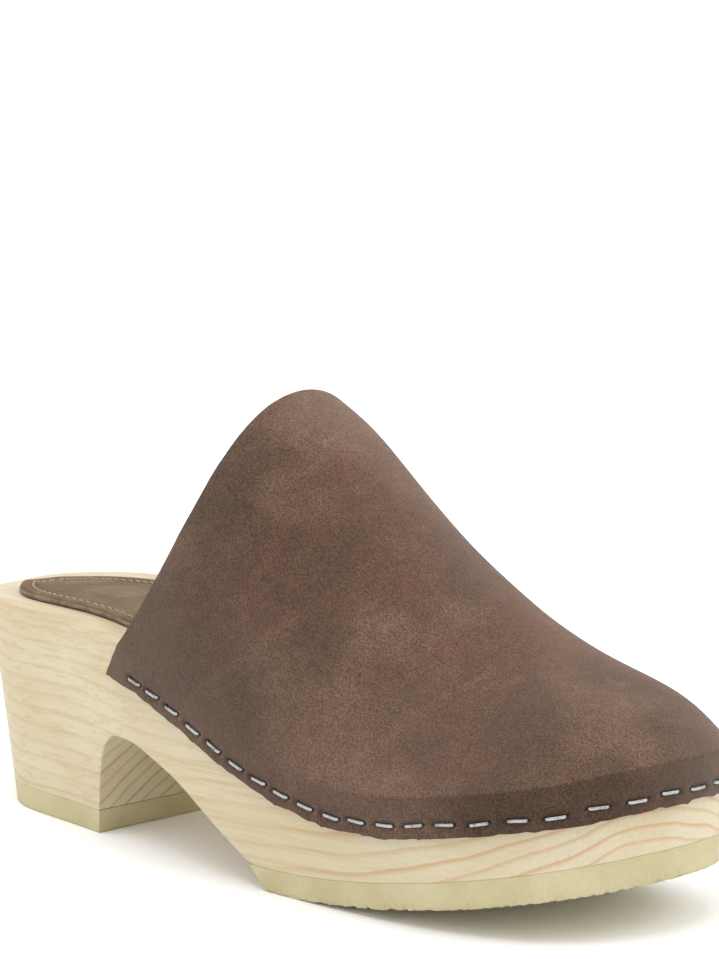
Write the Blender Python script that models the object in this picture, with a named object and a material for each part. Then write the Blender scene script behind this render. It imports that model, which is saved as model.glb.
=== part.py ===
"""A right-foot wooden clog: a one-piece wooden base with a block heel, rubber soles, a padded insole
and an open-backed suede upper that is stapled round the side of the wood.

Lengths are in millimetres until MM turns them into metres. x runs from the back of the heel to the
toe, y from the outer side of the foot (negative) to the inner side, and z up from the ground.
"""

import math

import bmesh
import bpy
import numpy as np
from mathutils import Matrix, Vector

MM = 0.001
GAP = 0.3  # between pieces that touch on the real clog

# The rim of the footbed in plan: outer side from heel to toe, then back along the inner side.
RIM_OUTLINE = [
    (2.8, 9), (3.6, 0), (4.9, -9.5), (11, -18.5), (28, -29), (60, -33.7), (97, -39), (132, -41),
    (168, -41), (199, -39), (224, -32), (241, -18.5), (248, 5), (241, 28), (224, 37), (199, 40.5),
    (168, 40), (132, 35.5), (97, 32), (60, 32), (28, 31.5), (8.5, 22),
]
# Height of the rim above the ground at stations along the shoe.
RIM_STATIONS = [-10, 0, 60, 92, 112, 132, 153, 173, 194, 214, 234, 250]
RIM_HEIGHTS = [57.5, 57.5, 58.5, 56, 50.5, 42.5, 35.5, 32, 32.5, 35.5, 39.5, 44]
LENGTH = 248

# The base narrows towards the ground, more so at the heel block.
HEEL_SIDE_INSET = 3.8
HEEL_BACK_INSET = 13.6
FOREPART_INSET = 1.1
INSET_CHANGE = (70, 130)

# Underside: block heel, arch and toe spring.
HEEL_LIFT = 6.5
BREAST_LINE = [(73.5, 0), (75.3, 12.5), (77, 20), (79.8, 25.8), (83, 28.6), (88, 29.4)]
ARCH_LINE = [(95, 29), (103, 26.8), (115.5, 22), (124.5, 16.8), (132.5, 12), (142, 6.6)]
BREAST_FOOT = 74.5  # station of the breast where the wood meets the toplift
SOLE_TOP_START = 142
SOLE_TOP_REAR = 143
WOOD_SOLE_START = 145
SOLE_BOTTOM_START = 149
SOLE_REAR_THICKNESS = 6
SOLE_TOE_EXTRA = 1.5
SPRING_START = 156
SPRING_POWER = 1.55
TOE_SPRING = 14.3

# Footbed: a rounded rim, a bare band of wood, then a shallow seat for the insole.
RIM_ROUND = 1.6
RIM_CHAMFER_SHARE = 0.3
BAND_WIDTH = 8.5
BAND_DROP_OUTER = 0.4
BAND_DROP_INNER = 2.4
BAND_TILT_REACH = 25
SEAT_MIDDLE_INSET = 20
SEAT_SLOPE = 0.1
STRAIGHT_INSET = 12.8
MIDDLE_REACH = 16
MIDDLE_FROM_ENDS = 30

# Insole.
COVER_INSET = 9
COVER_SKIRT = 0.8
COVER_THICKNESS = 0.8
COVER_EDGE_ROUND = 0.6
FOAM_THICKNESS = 1.2
THREAD_INSET = 12.5
THREAD_RADIUS = 0.35

# Upper: its cut edge hangs below the rim, and its ridge runs from the throat to the top of the toe.
UPPER_THICKNESS = 2
UPPER_DROP = 10.3
CORNER_STATION = 86
THROAT_SWEEP = 7.4
THROAT_SWEEP_SHARE = 0.35
THROAT_LEAN = 0.85
THROAT_LEAN_SHARE = 0.4
TOE_LEAN = 0.85
RIDGE_STATIONS = [122, 134, 154, 180, 207, 225.5]
RIDGE_HEIGHTS = [122.2, 115.2, 98.5, 79.3, 66.1, 59.8]
RIDGE_SIDE_SHIFT = 8.2
RIDGE_SHARE = 0.83
RIDGE_EASE = 1.8
FAN_START = 0.4
WALL_FULLNESS = 0.52
RIDGE_FULLNESS = 0.51
LINING_THICKNESS = 0.7
LINING_GAP = 0.5  # the facets of the two curved layers differ, so they need a little more room
PUFF_THICKNESS = 0.9
PUFF_START = 0.3
LINING_THROAT_MARGIN = 0.008
LINING_FOOT = 0.08
PUFF_GAP_SHARE = 0.004

# Staples that hold the upper to the side of the wood.
STAPLE_COUNT = 40
STAPLE_DROP = 7.2
STAPLE_PITCH = 9.5
STAPLE_CROWDING = 0.04
STAPLE_CROWN = 5.4
STAPLE_WIDTH = 1.1
STAPLE_THICKNESS = 0.7
STAPLE_LEG = 8
STAPLE_CHAMFER = 0.25
STAPLE_HOLE_TOP = 2  # how far the holes stand out of the leather

# Cutters reach past what they cut.
CUTTER_REAR = -20
CUTTER_FLOOR = -20
CUTTER_FRONT = LENGTH + 12
CUTTER_HALF_WIDTH = 70

# Facets.
OUTLINE_COUNT = 720
RING_STATIONS = 28
SOLE_STEPS = 16
BREAST_STEPS = 6
ARCH_STEPS = 9
UPPER_COLUMNS = 44
UPPER_ROWS = 9
LINING_COLUMNS = 11
PUFF_COLUMNS = 19
WELD_DISTANCE = 0.02


# Curves ---------------------------------------------------------------------------------------

def natural_spline(knots, values, at):
    """A natural cubic spline through values (one number or one point each), read at some places."""
    knots = np.asarray(knots, float)
    values = np.asarray(values, float)
    at = np.asarray(at, float)
    step = np.diff(knots)
    matrix = np.eye(len(knots))
    right = np.zeros(values.shape)
    for i in range(1, len(knots) - 1):
        matrix[i, i - 1:i + 2] = step[i - 1], 2 * (step[i - 1] + step[i]), step[i]
        slope_after = (values[i + 1] - values[i]) / step[i]
        slope_before = (values[i] - values[i - 1]) / step[i - 1]
        right[i] = 6 * (slope_after - slope_before)
    bend = np.linalg.solve(matrix, right)
    i = np.clip(np.searchsorted(knots, at) - 1, 0, len(knots) - 2)
    shape = at.shape + (1,) * (values.ndim - 1)
    after = (at - knots[i]).reshape(shape)
    before = (knots[i + 1] - at).reshape(shape)
    width = step[i].reshape(shape)
    curved = (bend[i] * before**3 + bend[i + 1] * after**3) / (6 * width)
    start = (values[i] / width - bend[i] * width / 6) * before
    end = (values[i + 1] / width - bend[i + 1] * width / 6) * after
    return curved + start + end


def closed_spline(points, count):
    """Count points on a smooth closed curve through the given points."""
    points = np.asarray(points, float)
    wrap = 4
    ring = np.vstack([points[-wrap:], points, points[:wrap + 1]])
    chords = np.linalg.norm(np.diff(ring, axis=0), axis=1)
    knots = np.r_[0, np.cumsum(np.sqrt(chords))]
    places = np.linspace(knots[wrap], knots[wrap + len(points)], count + 1)[:-1]
    return natural_spline(knots, ring, places)


def smoothstep(start, end, x):
    t = np.clip((x - start) / (end - start), 0, 1)
    return t * t * (3 - 2 * t)


# The rim and the side wall of the base ---------------------------------------------------------

RIM = closed_spline(RIM_OUTLINE, OUTLINE_COUNT)
RIM_LOOP = np.vstack([RIM, RIM[:1]])
RIM_ARC = np.r_[0, np.cumsum(np.linalg.norm(np.diff(RIM_LOOP, axis=0), axis=1))]
TOE_INDEX = int(np.argmax(RIM[:, 0]))


def outward_normals(points):
    along = np.roll(points, -1, axis=0) - np.roll(points, 1, axis=0)
    along /= np.linalg.norm(along, axis=1)[:, None]
    normals = np.stack([along[:, 1], -along[:, 0]], axis=1)
    return np.vstack([normals, normals[:1]])


RIM_NORMALS = outward_normals(RIM)


def rim_at(arc):
    """Plan point and outward normal of the rim at a distance along it from the back of the heel."""
    arc = np.mod(arc, RIM_ARC[-1])
    point = np.stack([np.interp(arc, RIM_ARC, RIM_LOOP[:, k]) for k in (0, 1)], axis=-1)
    normal = np.stack([np.interp(arc, RIM_ARC, RIM_NORMALS[:, k]) for k in (0, 1)], axis=-1)
    return point, normal / np.linalg.norm(normal, axis=-1)[..., None]


def arc_at_station(x, inner_side):
    """Distance along the rim to the point on one side of the shoe at station x."""
    if inner_side:
        return np.interp(-np.asarray(x, float), -RIM_LOOP[TOE_INDEX:, 0], RIM_ARC[TOE_INDEX:])
    return np.interp(x, RIM_LOOP[:TOE_INDEX + 1, 0], RIM_ARC[:TOE_INDEX + 1])


def rim_height(x):
    return natural_spline(RIM_STATIONS, RIM_HEIGHTS, x)


def wall_at(arc, height):
    """Plan point and outward normal of the base's side wall at a height above the ground."""
    point, normal = rim_at(arc)
    x = point[..., 0]
    change = smoothstep(*INSET_CHANGE, x)
    side = HEEL_SIDE_INSET + (FOREPART_INSET - HEEL_SIDE_INSET) * change
    end = HEEL_BACK_INSET + (FOREPART_INSET - HEEL_BACK_INSET) * change
    inset = np.stack([normal[..., 0] * end, normal[..., 1] * side], axis=-1)
    below_rim = 1 - height / rim_height(x)
    return point - inset * np.asarray(below_rim)[..., None], normal


def ring_arcs():
    """Arcs of a ring of points in pairs that face each other across the shoe, closer at its ends."""
    turns = np.pi * np.arange(1, RING_STATIONS) / RING_STATIONS
    stations = RIM[0, 0] + (RIM[TOE_INDEX, 0] - RIM[0, 0]) * (1 - np.cos(turns)) / 2
    outer = arc_at_station(stations, inner_side=False)
    inner = arc_at_station(stations, inner_side=True)
    return np.r_[0, outer, RIM_ARC[TOE_INDEX], inner[::-1]]


ARCS = ring_arcs()


def band_drop(arcs):
    """How far the inside of the bare band lies below the rim. The footbed tilts to the inner side."""
    share = smoothstep(-BAND_TILT_REACH, BAND_TILT_REACH, rim_at(arcs)[0][:, 1])
    return BAND_DROP_OUTER + (BAND_DROP_INNER - BAND_DROP_OUTER) * share


def seat_drop(inset):
    """How far the insole's seat lies below the rim's height, at a distance inside the rim."""
    return band_drop(ARCS) + SEAT_SLOPE * (inset - BAND_WIDTH)


def wall_ring(height):
    """A ring of 3-D points round the side wall. Height is one number or one for each point."""
    height = np.broadcast_to(height, ARCS.shape)
    point, _ = wall_at(ARCS, height)
    return np.column_stack([point, height])


def middle_line(x):
    """Points on the middle line of the footbed, at stations away from its two ends."""
    x = np.clip(x, RIM[0, 0] + MIDDLE_FROM_ENDS, LENGTH - MIDDLE_FROM_ENDS)
    sides = [rim_at(arc_at_station(x, inner_side))[0][..., 1] for inner_side in (False, True)]
    return np.stack([x, sum(sides) / 2], axis=-1)


def footbed_ring(inset, drop):
    """A ring that far inside the rim. Its drop below the rim is one number or one for each point.
    Far in, the points head for the middle line, so that the ring's corners do not fold."""
    point, normal = rim_at(ARCS)
    straight = min(inset, STRAIGHT_INSET)
    point = point - normal * straight
    point = point + (middle_line(point[:, 0]) - point) * (inset - straight) / MIDDLE_REACH
    return np.column_stack([point, rim_height(point[:, 0]) - drop])


# Meshes ----------------------------------------------------------------------------------------

def material(name, colour, roughness, metallic=0.0):
    made = bpy.data.materials.new(name)
    made.use_nodes = True
    made.diffuse_color = (*colour, 1)
    shader = made.node_tree.nodes["Principled BSDF"]
    shader.inputs["Base Color"].default_value = (*colour, 1)
    shader.inputs["Roughness"].default_value = roughness
    shader.inputs["Metallic"].default_value = metallic
    return made


def add_object(name, mesh, look, parent=None):
    piece = bpy.data.objects.new(name, mesh)
    piece.parent = parent
    bpy.context.scene.collection.objects.link(piece)
    if look is not None and not mesh.materials:
        mesh.materials.append(look)
    return piece


def mesh_of(name, bm, sharp_degrees=40):
    """Turns a bmesh in millimetres into a smooth-shaded mesh in metres."""
    bmesh.ops.scale(bm, vec=(MM, MM, MM), verts=bm.verts)
    mesh = bpy.data.meshes.new(name)
    bm.to_mesh(mesh)
    bm.free()
    mesh.shade_smooth()
    mesh.set_sharp_from_angle(angle=math.radians(sharp_degrees))
    return mesh


def bridge(bm, lower, upper):
    """Quads between two closed rings of vertices."""
    count = len(lower)
    for i in range(count):
        j = (i + 1) % count
        bm.faces.new((lower[i], lower[j], upper[j], upper[i]))


def ladder(bm, ring, facing_up):
    """Closes a ring with faces between the vertices that face each other across the shoe."""
    count = len(ring)
    for i in range(count // 2):
        quad = [ring[i], ring[i + 1], ring[count - i - 1], ring[(count - i) % count]]
        corners = [v for k, v in enumerate(quad) if v not in quad[:k]]
        if not facing_up:
            corners.reverse()
        bm.faces.new(corners)


def stacked_rings(bm, rings):
    """Vertices of each ring, joined into one skin from the first ring to the last."""
    made = [[bm.verts.new(point) for point in ring] for ring in rings]
    for lower, upper in zip(made, made[1:]):
        bridge(bm, lower, upper)
    return made


def solid_of_rings(name, rings):
    """A closed solid: rings from the middle of its underside, out, up and in again on top."""
    bm = bmesh.new()
    made = stacked_rings(bm, rings)
    ladder(bm, made[0], facing_up=False)
    ladder(bm, made[-1], facing_up=True)
    return mesh_of(name, bm)


def side_profile_cutter(name, profile):
    """A slab right across the shoe with the given outline in x and z, used by Booleans only."""
    bm = bmesh.new()
    near = [bm.verts.new((x, -CUTTER_HALF_WIDTH, z)) for x, z in profile]
    face = bm.faces.new(near)
    made = bmesh.ops.extrude_face_region(bm, geom=[face])
    moved = [v for v in made["geom"] if isinstance(v, bmesh.types.BMVert)]
    bmesh.ops.translate(bm, vec=(0, 2 * CUTTER_HALF_WIDTH, 0), verts=moved)
    bmesh.ops.recalc_face_normals(bm, faces=bm.faces)
    return cutter(name, mesh_of(name, bm))


def cutter(name, mesh):
    made = add_object(name, mesh, None)
    made.hide_render = True
    made.display_type = "WIRE"
    return made


def cut(piece, tool, operation="DIFFERENCE"):
    change = piece.modifiers.new(tool.name, "BOOLEAN")
    change.operation = operation
    change.solver = "EXACT"
    change.object = tool


# Base and soles ----------------------------------------------------------------------------------

def toe_spring(x):
    """How far the sole's tread has left the ground at station x."""
    rise = np.clip((np.asarray(x, float) - SPRING_START) / (LENGTH - SPRING_START), 0, None)
    return TOE_SPRING * rise**SPRING_POWER


def sole_top(x):
    share = np.clip((np.asarray(x, float) - SOLE_TOP_START) / (LENGTH - SOLE_TOP_START), 0, 1)
    return toe_spring(x) + SOLE_REAR_THICKNESS + SOLE_TOE_EXTRA * share


def sole_stations(start):
    return np.linspace(start, CUTTER_FRONT, SOLE_STEPS)


def arch_profile():
    """Points up the heel's breast, round its top and down the arch to the sole."""
    line = BREAST_LINE + ARCH_LINE
    knots = [point[0] for point in line[1:]]
    heights = [point[1] for point in line[1:]]
    top = len(BREAST_LINE) - 2
    up_breast = np.linspace(knots[1], knots[top], BREAST_STEPS)
    down_arch = np.linspace(knots[top + 1], knots[-1], ARCH_STEPS)
    stations = np.r_[knots[0], up_breast, down_arch]
    curve = natural_spline(knots, heights, stations)
    return [line[0]] + list(zip(stations, curve))


def underside_profile():
    """Outline in x and z of all that lies under the wood."""
    tread = HEEL_LIFT + GAP
    behind = [(CUTTER_REAR, CUTTER_FLOOR), (CUTTER_REAR, tread), (BREAST_FOOT, tread)]
    forepart = [(x, sole_top(x) + GAP) for x in sole_stations(WOOD_SOLE_START)]
    return behind + arch_profile()[1:] + forepart + [(CUTTER_FRONT, CUTTER_FLOOR)]


def make_base(look, staple_holes, parent):
    chamfer = RIM_CHAMFER_SHARE * RIM_ROUND
    rings = [
        wall_ring(0),
        wall_ring(rim_height(rim_at(ARCS)[0][:, 0]) - RIM_ROUND),
        footbed_ring(chamfer, chamfer),
        footbed_ring(RIM_ROUND, 0),
        footbed_ring(BAND_WIDTH, seat_drop(BAND_WIDTH)),
        footbed_ring(SEAT_MIDDLE_INSET, seat_drop(SEAT_MIDDLE_INSET)),
    ]
    base = add_object("wood_base", solid_of_rings("wood_base", rings), look, parent)
    cut(base, side_profile_cutter("underside_cutter", underside_profile()))
    cut(base, staple_holes)
    return base


def side_wall_prism(name):
    """The space inside the side wall, from the ground to the rim. The soles are slices of it."""
    top = rim_height(rim_at(ARCS)[0][:, 0])
    return solid_of_rings(name, [wall_ring(0), wall_ring(top)])


def make_forepart_outsole(look, parent):
    top = [(x, sole_top(x)) for x in sole_stations(SOLE_TOP_REAR)]
    tread = [(x, toe_spring(x)) for x in sole_stations(SPRING_START)]
    profile = top + tread[::-1] + [(SOLE_BOTTOM_START, 0)]
    sole = add_object("forepart_outsole", side_wall_prism("forepart_outsole"), look, parent)
    cut(sole, side_profile_cutter("outsole_profile", profile), "INTERSECT")
    return sole


def make_heel_toplift(look, parent):
    breast = BREAST_LINE[0]
    profile = [(CUTTER_REAR, 0), (CUTTER_REAR, HEEL_LIFT), (BREAST_FOOT, HEEL_LIFT), breast]
    lift = add_object("heel_toplift", side_wall_prism("heel_toplift"), look, parent)
    cut(lift, side_profile_cutter("toplift_profile", profile), "INTERSECT")
    return lift


# Insole ------------------------------------------------------------------------------------------

def insole_ring(inset, above_seat):
    return footbed_ring(inset, seat_drop(inset) - above_seat)


def make_insole_foam(look, parent):
    edge = COVER_INSET + COVER_SKIRT + GAP
    top = GAP + FOAM_THICKNESS
    rings = [
        insole_ring(SEAT_MIDDLE_INSET, GAP),
        insole_ring(edge, GAP),
        insole_ring(edge, top),
        insole_ring(SEAT_MIDDLE_INSET, top),
    ]
    return add_object("insole_foam", solid_of_rings("insole_foam", rings), look, parent)


def make_insole_cover(look, parent):
    """A thin cover over the foam, with a skirt that turns down its side to the wood."""
    under = 2 * GAP + FOAM_THICKNESS
    top = under + COVER_THICKNESS
    rings = [
        insole_ring(SEAT_MIDDLE_INSET, under),
        insole_ring(COVER_INSET + COVER_SKIRT, under),
        insole_ring(COVER_INSET + COVER_SKIRT, GAP),
        insole_ring(COVER_INSET, GAP),
        insole_ring(COVER_INSET, top - COVER_EDGE_ROUND),
        insole_ring(COVER_INSET + COVER_EDGE_ROUND, top),
        insole_ring(SEAT_MIDDLE_INSET, top),
    ]
    return add_object("insole_cover", solid_of_rings("insole_cover", rings), look, parent)


def make_insole_stitching(look, parent):
    """The sewing thread, as one closed loop that lies on the cover."""
    height = 3 * GAP + FOAM_THICKNESS + COVER_THICKNESS + THREAD_RADIUS
    bm = bmesh.new()
    sides = [
        (THREAD_INSET + THREAD_RADIUS, height),
        (THREAD_INSET, height - THREAD_RADIUS),
        (THREAD_INSET - THREAD_RADIUS, height),
        (THREAD_INSET, height + THREAD_RADIUS),
    ]
    made = stacked_rings(bm, [insole_ring(inset, above) for inset, above in sides])
    bridge(bm, made[-1], made[0])
    mesh = mesh_of("insole_stitching", bm)
    return add_object("insole_stitching", mesh, look, parent)


# Upper -------------------------------------------------------------------------------------------

CORNER_ARCS = (
    float(arc_at_station(CORNER_STATION, inner_side=False)),
    float(arc_at_station(CORNER_STATION, inner_side=True)),
)


def upper_columns(along, rows):
    """Points of the upper's outer face: one column for each place along its cut edge (0 at the outer
    corner, 0.5 at the toe, 1 at the inner corner) and one row for each height. Rows below 0 lie on
    the wood's side wall, -1 at the cut edge. Rows from 0 to 1 rise from the rim to the ridge."""
    along = np.asarray(along, float)
    start, end = CORNER_ARCS
    arc = start + along * (end - start)
    from_corner = 2 * np.minimum(along, 1 - along)
    side = np.where(along < 0.5, -1.0, 1.0)
    sweep = THROAT_SWEEP * np.clip(1 - from_corner / THROAT_SWEEP_SHARE, 0, 1)**2
    foot, normal = rim_at(arc - side * sweep)
    foot = foot + normal * (GAP + UPPER_THICKNESS)
    foot_height = rim_height(foot[:, 0])

    ridge_share = 1 - (1 - np.clip(from_corner / RIDGE_SHARE, 0, 1))**RIDGE_EASE
    ridge_x = RIDGE_STATIONS[0] + (RIDGE_STATIONS[-1] - RIDGE_STATIONS[0]) * ridge_share
    ridge_z = natural_spline(RIDGE_STATIONS, RIDGE_HEIGHTS, ridge_x)
    ridge = np.column_stack([ridge_x, RIDGE_SIDE_SHIFT * ridge_share, ridge_z])
    slope = (natural_spline(RIDGE_STATIONS, RIDGE_HEIGHTS, ridge_x + 0.5)
             - natural_spline(RIDGE_STATIONS, RIDGE_HEIGHTS, ridge_x - 0.5))
    reach = foot - ridge[:, :2]
    fan = smoothstep(FAN_START, 1, ridge_share)
    heading = side * (np.pi / 2) * (1 - fan) + np.arctan2(reach[:, 1], reach[:, 0]) * fan
    leave = np.column_stack([np.cos(heading), np.sin(heading), slope * np.cos(heading)])
    lean = THROAT_LEAN * np.clip(1 - from_corner / THROAT_LEAN_SHARE, 0, 1)**2
    inward = -normal * (TOE_LEAN * fan**2)[:, None]
    rise = np.column_stack([lean + inward[:, 0], inward[:, 1], np.ones_like(lean)])

    foot = np.column_stack([foot, foot_height])
    wall_handle = foot + rise * (WALL_FULLNESS * (ridge_z - foot_height))[:, None]
    ridge_handle = ridge + leave * (RIDGE_FULLNESS * np.linalg.norm(reach, axis=1))[:, None]
    edge_height = rim_height(rim_at(arc)[0][:, 0]) - UPPER_DROP
    edge, edge_normal = wall_at(arc, edge_height)
    edge = np.column_stack([edge + edge_normal * (GAP + UPPER_THICKNESS), edge_height])

    points = []
    for t in rows:
        if t < 0:
            points.append(foot + (edge - foot) * -t)
        else:
            points.append((1 - t)**3 * foot + 3 * (1 - t)**2 * t * wall_handle
                          + 3 * (1 - t) * t**2 * ridge_handle + t**3 * ridge)
    return np.array(points)


def upper_sheet(strips, rows, depth):
    """A sheet that follows the upper at a depth under its outer face. Strips that meet on the ridge
    are welded there."""
    bm = bmesh.new()
    for along in strips:
        grid = [[bm.verts.new(point) for point in row] for row in upper_columns(along, rows)]
        for low, high in zip(grid, grid[1:]):
            for i in range(len(low) - 1):
                bm.faces.new((low[i], low[i + 1], high[i + 1], high[i]))
    bmesh.ops.remove_doubles(bm, verts=bm.verts, dist=WELD_DISTANCE)
    bm.normal_update()
    for vertex in bm.verts:
        vertex.co -= vertex.normal * depth
    return bm


def thicken(piece, thickness):
    solid = piece.modifiers.new("thickness", "SOLIDIFY")
    solid.thickness = thickness * MM
    solid.offset = -1


def make_upper(look, staple_holes, parent):
    rows = np.r_[-1, -0.5, np.linspace(0, 1, UPPER_ROWS + 1)]
    columns = np.linspace(0, 1, UPPER_COLUMNS + 1)
    mesh = mesh_of("upper", upper_sheet([columns], rows, 0))
    upper = add_object("upper", mesh, look, parent)
    thicken(upper, UPPER_THICKNESS)
    cut(upper, staple_holes)
    return upper


def inner_layer(name, strips, thickness, look, parent):
    """A layer bonded to the inside of the upper, above the wood's rim."""
    rows = np.linspace(LINING_FOOT, 1, UPPER_ROWS - 1)
    mesh = mesh_of(name, upper_sheet(strips, rows, UPPER_THICKNESS + LINING_GAP))
    layer = add_object(name, mesh, look, parent)
    thicken(layer, thickness)
    return layer


def make_vamp_lining(look, parent):
    outer = np.linspace(LINING_THROAT_MARGIN, PUFF_START, LINING_COLUMNS)
    strips = [outer, 1 - outer[::-1]]
    return inner_layer("vamp_lining", strips, LINING_THICKNESS, look, parent)


def make_toe_puff(look, parent):
    start = PUFF_START + PUFF_GAP_SHARE
    strips = [np.linspace(start, 1 - start, PUFF_COLUMNS)]
    return inner_layer("toe_puff", strips, PUFF_THICKNESS, look, parent)


# Staples -----------------------------------------------------------------------------------------

def staple_arcs():
    """Places of the staples along the cut edge, a little closer together towards the corners."""
    middle = sum(CORNER_ARCS) / 2
    steps = np.arange(STAPLE_COUNT) - (STAPLE_COUNT - 1) / 2
    return middle + STAPLE_PITCH * steps - STAPLE_CROWDING * steps * np.abs(steps)


def staple_frame(arc):
    """A frame on the outer face of the upper: x along the edge, y out of the wood, z up the wall."""
    def face_point(at):
        height = rim_height(rim_at(at)[0][0]) - STAPLE_DROP
        plan, normal = wall_at(at, height)
        plan = plan + normal * (GAP + UPPER_THICKNESS)
        return Vector((*plan, float(height))), Vector((*normal, 0))

    reach = STAPLE_CROWN / 2
    middle, out = face_point(np.float64(arc))
    before, _ = face_point(np.float64(arc - reach))
    after, _ = face_point(np.float64(arc + reach))
    along = (after - before).normalized()
    out = (out - along * out.dot(along)).normalized()
    frame = Matrix((along, out, along.cross(out))).transposed().to_4x4()
    frame.translation = middle
    return frame


def staple_mesh():
    """One staple: a flat crown that lies on the leather, and two legs that go in."""
    half = STAPLE_CROWN / 2
    crown_top = GAP + STAPLE_THICKNESS
    foot = GAP - STAPLE_LEG
    inside = half - STAPLE_THICKNESS
    profile = [
        (-half, foot), (-inside, foot), (-inside, GAP), (inside, GAP), (inside, foot), (half, foot),
        (half, crown_top - STAPLE_CHAMFER), (half - STAPLE_CHAMFER, crown_top),
        (STAPLE_CHAMFER - half, crown_top), (-half, crown_top - STAPLE_CHAMFER),
    ]
    bm = bmesh.new()
    near = [bm.verts.new((x, y, -STAPLE_WIDTH / 2)) for x, y in profile]
    made = bmesh.ops.extrude_face_region(bm, geom=[bm.faces.new(near)])
    moved = [v for v in made["geom"] if isinstance(v, bmesh.types.BMVert)]
    bmesh.ops.translate(bm, vec=(0, 0, STAPLE_WIDTH), verts=moved)
    bmesh.ops.recalc_face_normals(bm, faces=bm.faces)
    return mesh_of("staple", bm)


def make_staple_holes(frames):
    """Clearance round every staple leg, through the leather and into the wood."""
    bm = bmesh.new()
    middle = (STAPLE_CROWN - STAPLE_THICKNESS) / 2
    size = (STAPLE_THICKNESS + 2 * GAP, STAPLE_LEG + STAPLE_HOLE_TOP, STAPLE_WIDTH + 2 * GAP)
    deepest = GAP - STAPLE_LEG - GAP
    for frame in frames:
        for side in (-1, 1):
            place = Vector((side * middle, deepest + size[1] / 2, 0))
            box = bmesh.ops.create_cube(bm, size=1)["verts"]
            bmesh.ops.scale(bm, vec=size, verts=box)
            bmesh.ops.translate(bm, vec=place, verts=box)
            bmesh.ops.transform(bm, matrix=frame, verts=box)
    return cutter("staple_holes", mesh_of("staple_holes", bm))


def make_staples(frames, look, parent):
    mesh = staple_mesh()
    for number, frame in enumerate(frames, start=1):
        staple = add_object(f"staple_{number:02d}", mesh, look, parent)
        staple.location = frame.translation * MM
        staple.rotation_mode = "QUATERNION"
        staple.rotation_quaternion = frame.to_quaternion()


# Assembly ----------------------------------------------------------------------------------------

def clear_scene():
    for thing in list(bpy.data.objects):
        bpy.data.objects.remove(thing)


def centre_on_ground(root):
    """Moves the clog so that the middle of its bounding box stands over the origin."""
    bpy.context.view_layer.update()
    graph = bpy.context.evaluated_depsgraph_get()
    corners = [
        piece.matrix_world @ Vector(corner)
        for piece in bpy.data.objects if piece.type == "MESH" and not piece.hide_render
        for corner in piece.evaluated_get(graph).bound_box
    ]
    for axis in (0, 1):
        values = [corner[axis] for corner in corners]
        root.location[axis] = -(min(values) + max(values)) / 2


def main():
    clear_scene()
    root = bpy.data.objects.new("clog", None)
    bpy.context.scene.collection.objects.link(root)

    wood = material("pale_wood", (0.72, 0.6, 0.41), 0.55)
    crepe = material("cream_rubber", (0.62, 0.55, 0.3), 0.7)
    suede = material("brown_suede", (0.16, 0.1, 0.075), 0.9)
    lining = material("lining_leather", (0.5, 0.38, 0.26), 0.75)
    stiffener = material("toe_stiffener", (0.7, 0.68, 0.62), 0.85)
    foam = material("insole_foam", (0.75, 0.7, 0.6), 0.9)
    sock_suede = material("insole_suede", (0.24, 0.17, 0.12), 0.9)
    thread = material("beige_thread", (0.6, 0.5, 0.36), 0.7)
    steel = material("bright_steel", (0.75, 0.75, 0.75), 0.3, metallic=1.0)

    frames = [staple_frame(arc) for arc in staple_arcs()]
    staple_holes = make_staple_holes(frames)
    make_base(wood, staple_holes, root)
    make_forepart_outsole(crepe, root)
    make_heel_toplift(crepe, root)
    make_insole_foam(foam, root)
    make_insole_cover(sock_suede, root)
    make_insole_stitching(thread, root)
    make_upper(suede, staple_holes, root)
    make_vamp_lining(lining, root)
    make_toe_puff(stiffener, root)
    make_staples(frames, steel, root)
    for piece in bpy.data.objects:
        if piece.display_type == "WIRE":
            piece.parent = root
    centre_on_ground(root)


main()
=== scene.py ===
"""The looks of a wooden clog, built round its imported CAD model.

Lengths are in millimetres until MM turns them into metres. x runs from the back of the heel to the
toe, y from the outer side of the foot (negative) to the inner side, and z up from the ground. The
frame's own origin is under the middle of the clog, so place() shifts every point there.
"""

import math

import bpy
import numpy as np
from mathutils import Matrix, Vector, noise


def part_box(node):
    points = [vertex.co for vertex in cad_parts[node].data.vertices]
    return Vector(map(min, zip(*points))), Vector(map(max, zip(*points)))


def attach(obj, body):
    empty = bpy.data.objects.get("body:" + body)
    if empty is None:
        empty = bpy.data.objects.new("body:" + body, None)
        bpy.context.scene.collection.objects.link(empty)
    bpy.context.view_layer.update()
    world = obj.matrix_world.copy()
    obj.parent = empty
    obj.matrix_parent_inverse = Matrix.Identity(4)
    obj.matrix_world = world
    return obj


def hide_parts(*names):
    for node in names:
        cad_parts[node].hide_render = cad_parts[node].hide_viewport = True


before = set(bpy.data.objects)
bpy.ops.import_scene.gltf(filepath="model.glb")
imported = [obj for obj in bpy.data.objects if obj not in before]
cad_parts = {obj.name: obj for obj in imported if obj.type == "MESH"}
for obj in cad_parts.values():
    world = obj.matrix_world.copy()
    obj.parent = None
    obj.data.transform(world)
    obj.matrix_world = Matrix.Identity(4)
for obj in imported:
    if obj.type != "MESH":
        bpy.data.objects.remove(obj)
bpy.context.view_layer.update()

MM = 0.001
GAP = 0.3  # between pieces that touch
GLUE_LINE = 0.05  # between the wood and the rubber, where the CAD model has the gap

# --- The clog's own dimensions, the same as in the CAD model ---

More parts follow.
